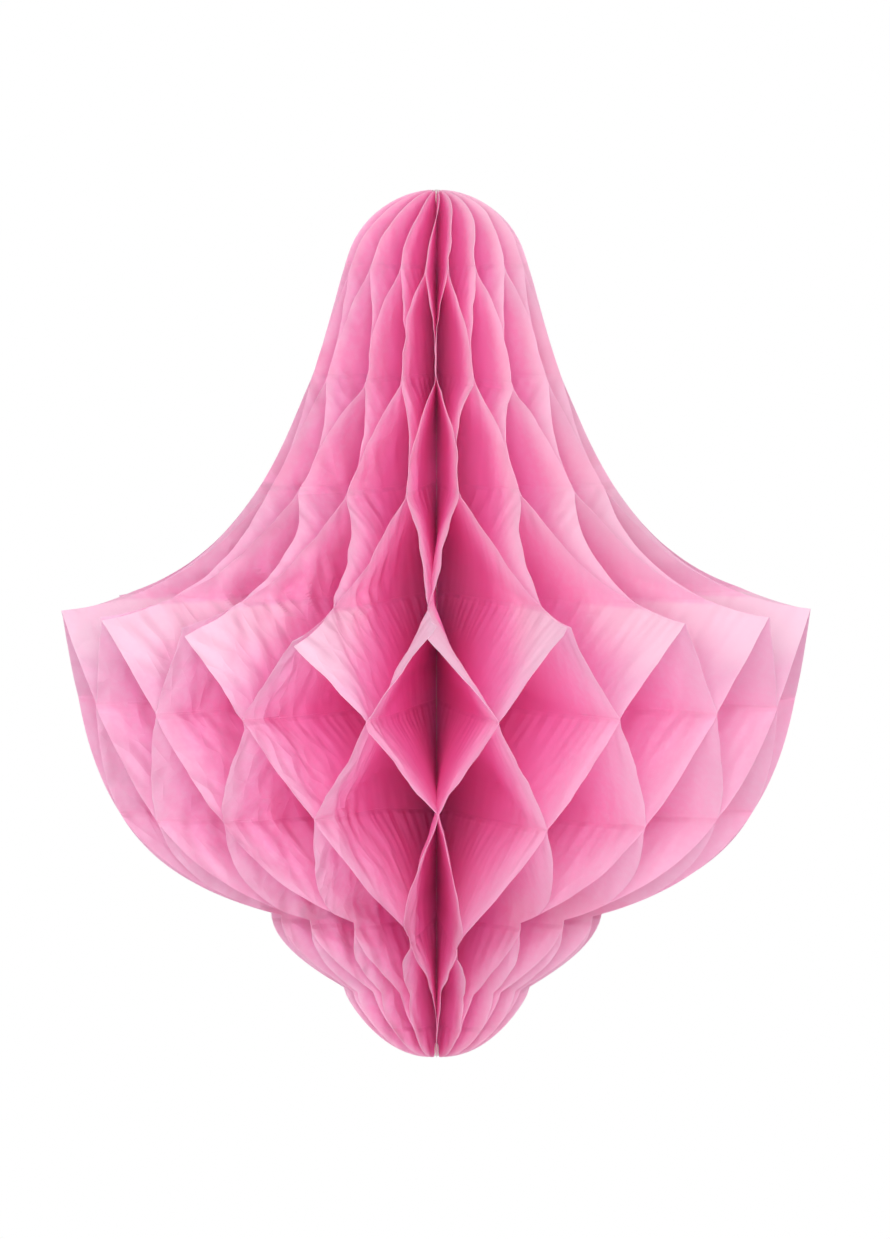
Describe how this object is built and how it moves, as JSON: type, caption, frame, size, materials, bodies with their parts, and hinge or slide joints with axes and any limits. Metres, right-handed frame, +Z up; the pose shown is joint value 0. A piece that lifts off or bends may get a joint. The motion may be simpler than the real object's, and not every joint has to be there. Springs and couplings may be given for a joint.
{
  "type": "honeycomb paper bell",
  "caption": "Hanging tissue-paper bell: folded sheets glued into a honeycomb of diamond cells, with a round top, a flared rim and a stepped lower end.",
  "frame": {"origin": "the point on the bell's axis that it hangs from, at the top of the spine thread's upper knot", "axes": "+Z up along the bell's axis, out of its top; -Y towards the front, where the first and the last sheet meet"},
  "size_m": [0.2574, 0.261, 0.3],
  "materials": {
    "tissue_paper": "matt pink tissue, lets light through",
    "thread": "matt twisted cotton"
  },
  "bodies": {
    "root": {"tissue_sheet_01": "tissue_paper", "tissue_sheet_02": "tissue_paper", "tissue_sheet_03": "tissue_paper", "tissue_sheet_04": "tissue_paper", "tissue_sheet_05": "tissue_paper", "tissue_sheet_06": "tissue_paper", "tissue_sheet_07": "tissue_paper", "tissue_sheet_08": "tissue_paper", "tissue_sheet_09": "tissue_paper", "tissue_sheet_10": "tissue_paper", "tissue_sheet_11": "tissue_paper", "tissue_sheet_12": "tissue_paper", "tissue_sheet_13": "tissue_paper", "tissue_sheet_14": "tissue_paper", "tissue_sheet_15": "tissue_paper", "tissue_sheet_16": "tissue_paper", "tissue_sheet_17": "tissue_paper", "tissue_sheet_18": "tissue_paper", "tissue_sheet_19": "tissue_paper", "tissue_sheet_20": "tissue_paper", "tissue_sheet_21": "tissue_paper", "tissue_sheet_22": "tissue_paper", "tissue_sheet_23": "tissue_paper", "tissue_sheet_24": "tissue_paper", "tissue_sheet_25": "tissue_paper", "tissue_sheet_26": "tissue_paper", "tissue_sheet_27": "tissue_paper", "tissue_sheet_28": "tissue_paper", "tissue_sheet_29": "tissue_paper", "tissue_sheet_30": "tissue_paper", "tissue_sheet_31": "tissue_paper", "tissue_sheet_32": "tissue_paper", "tissue_sheet_33": "tissue_paper", "tissue_sheet_34": "tissue_paper", "tissue_sheet_35": "tissue_paper", "tissue_sheet_36": "tissue_paper", "spine_thread": "thread"}
  },
  "joints": []
}
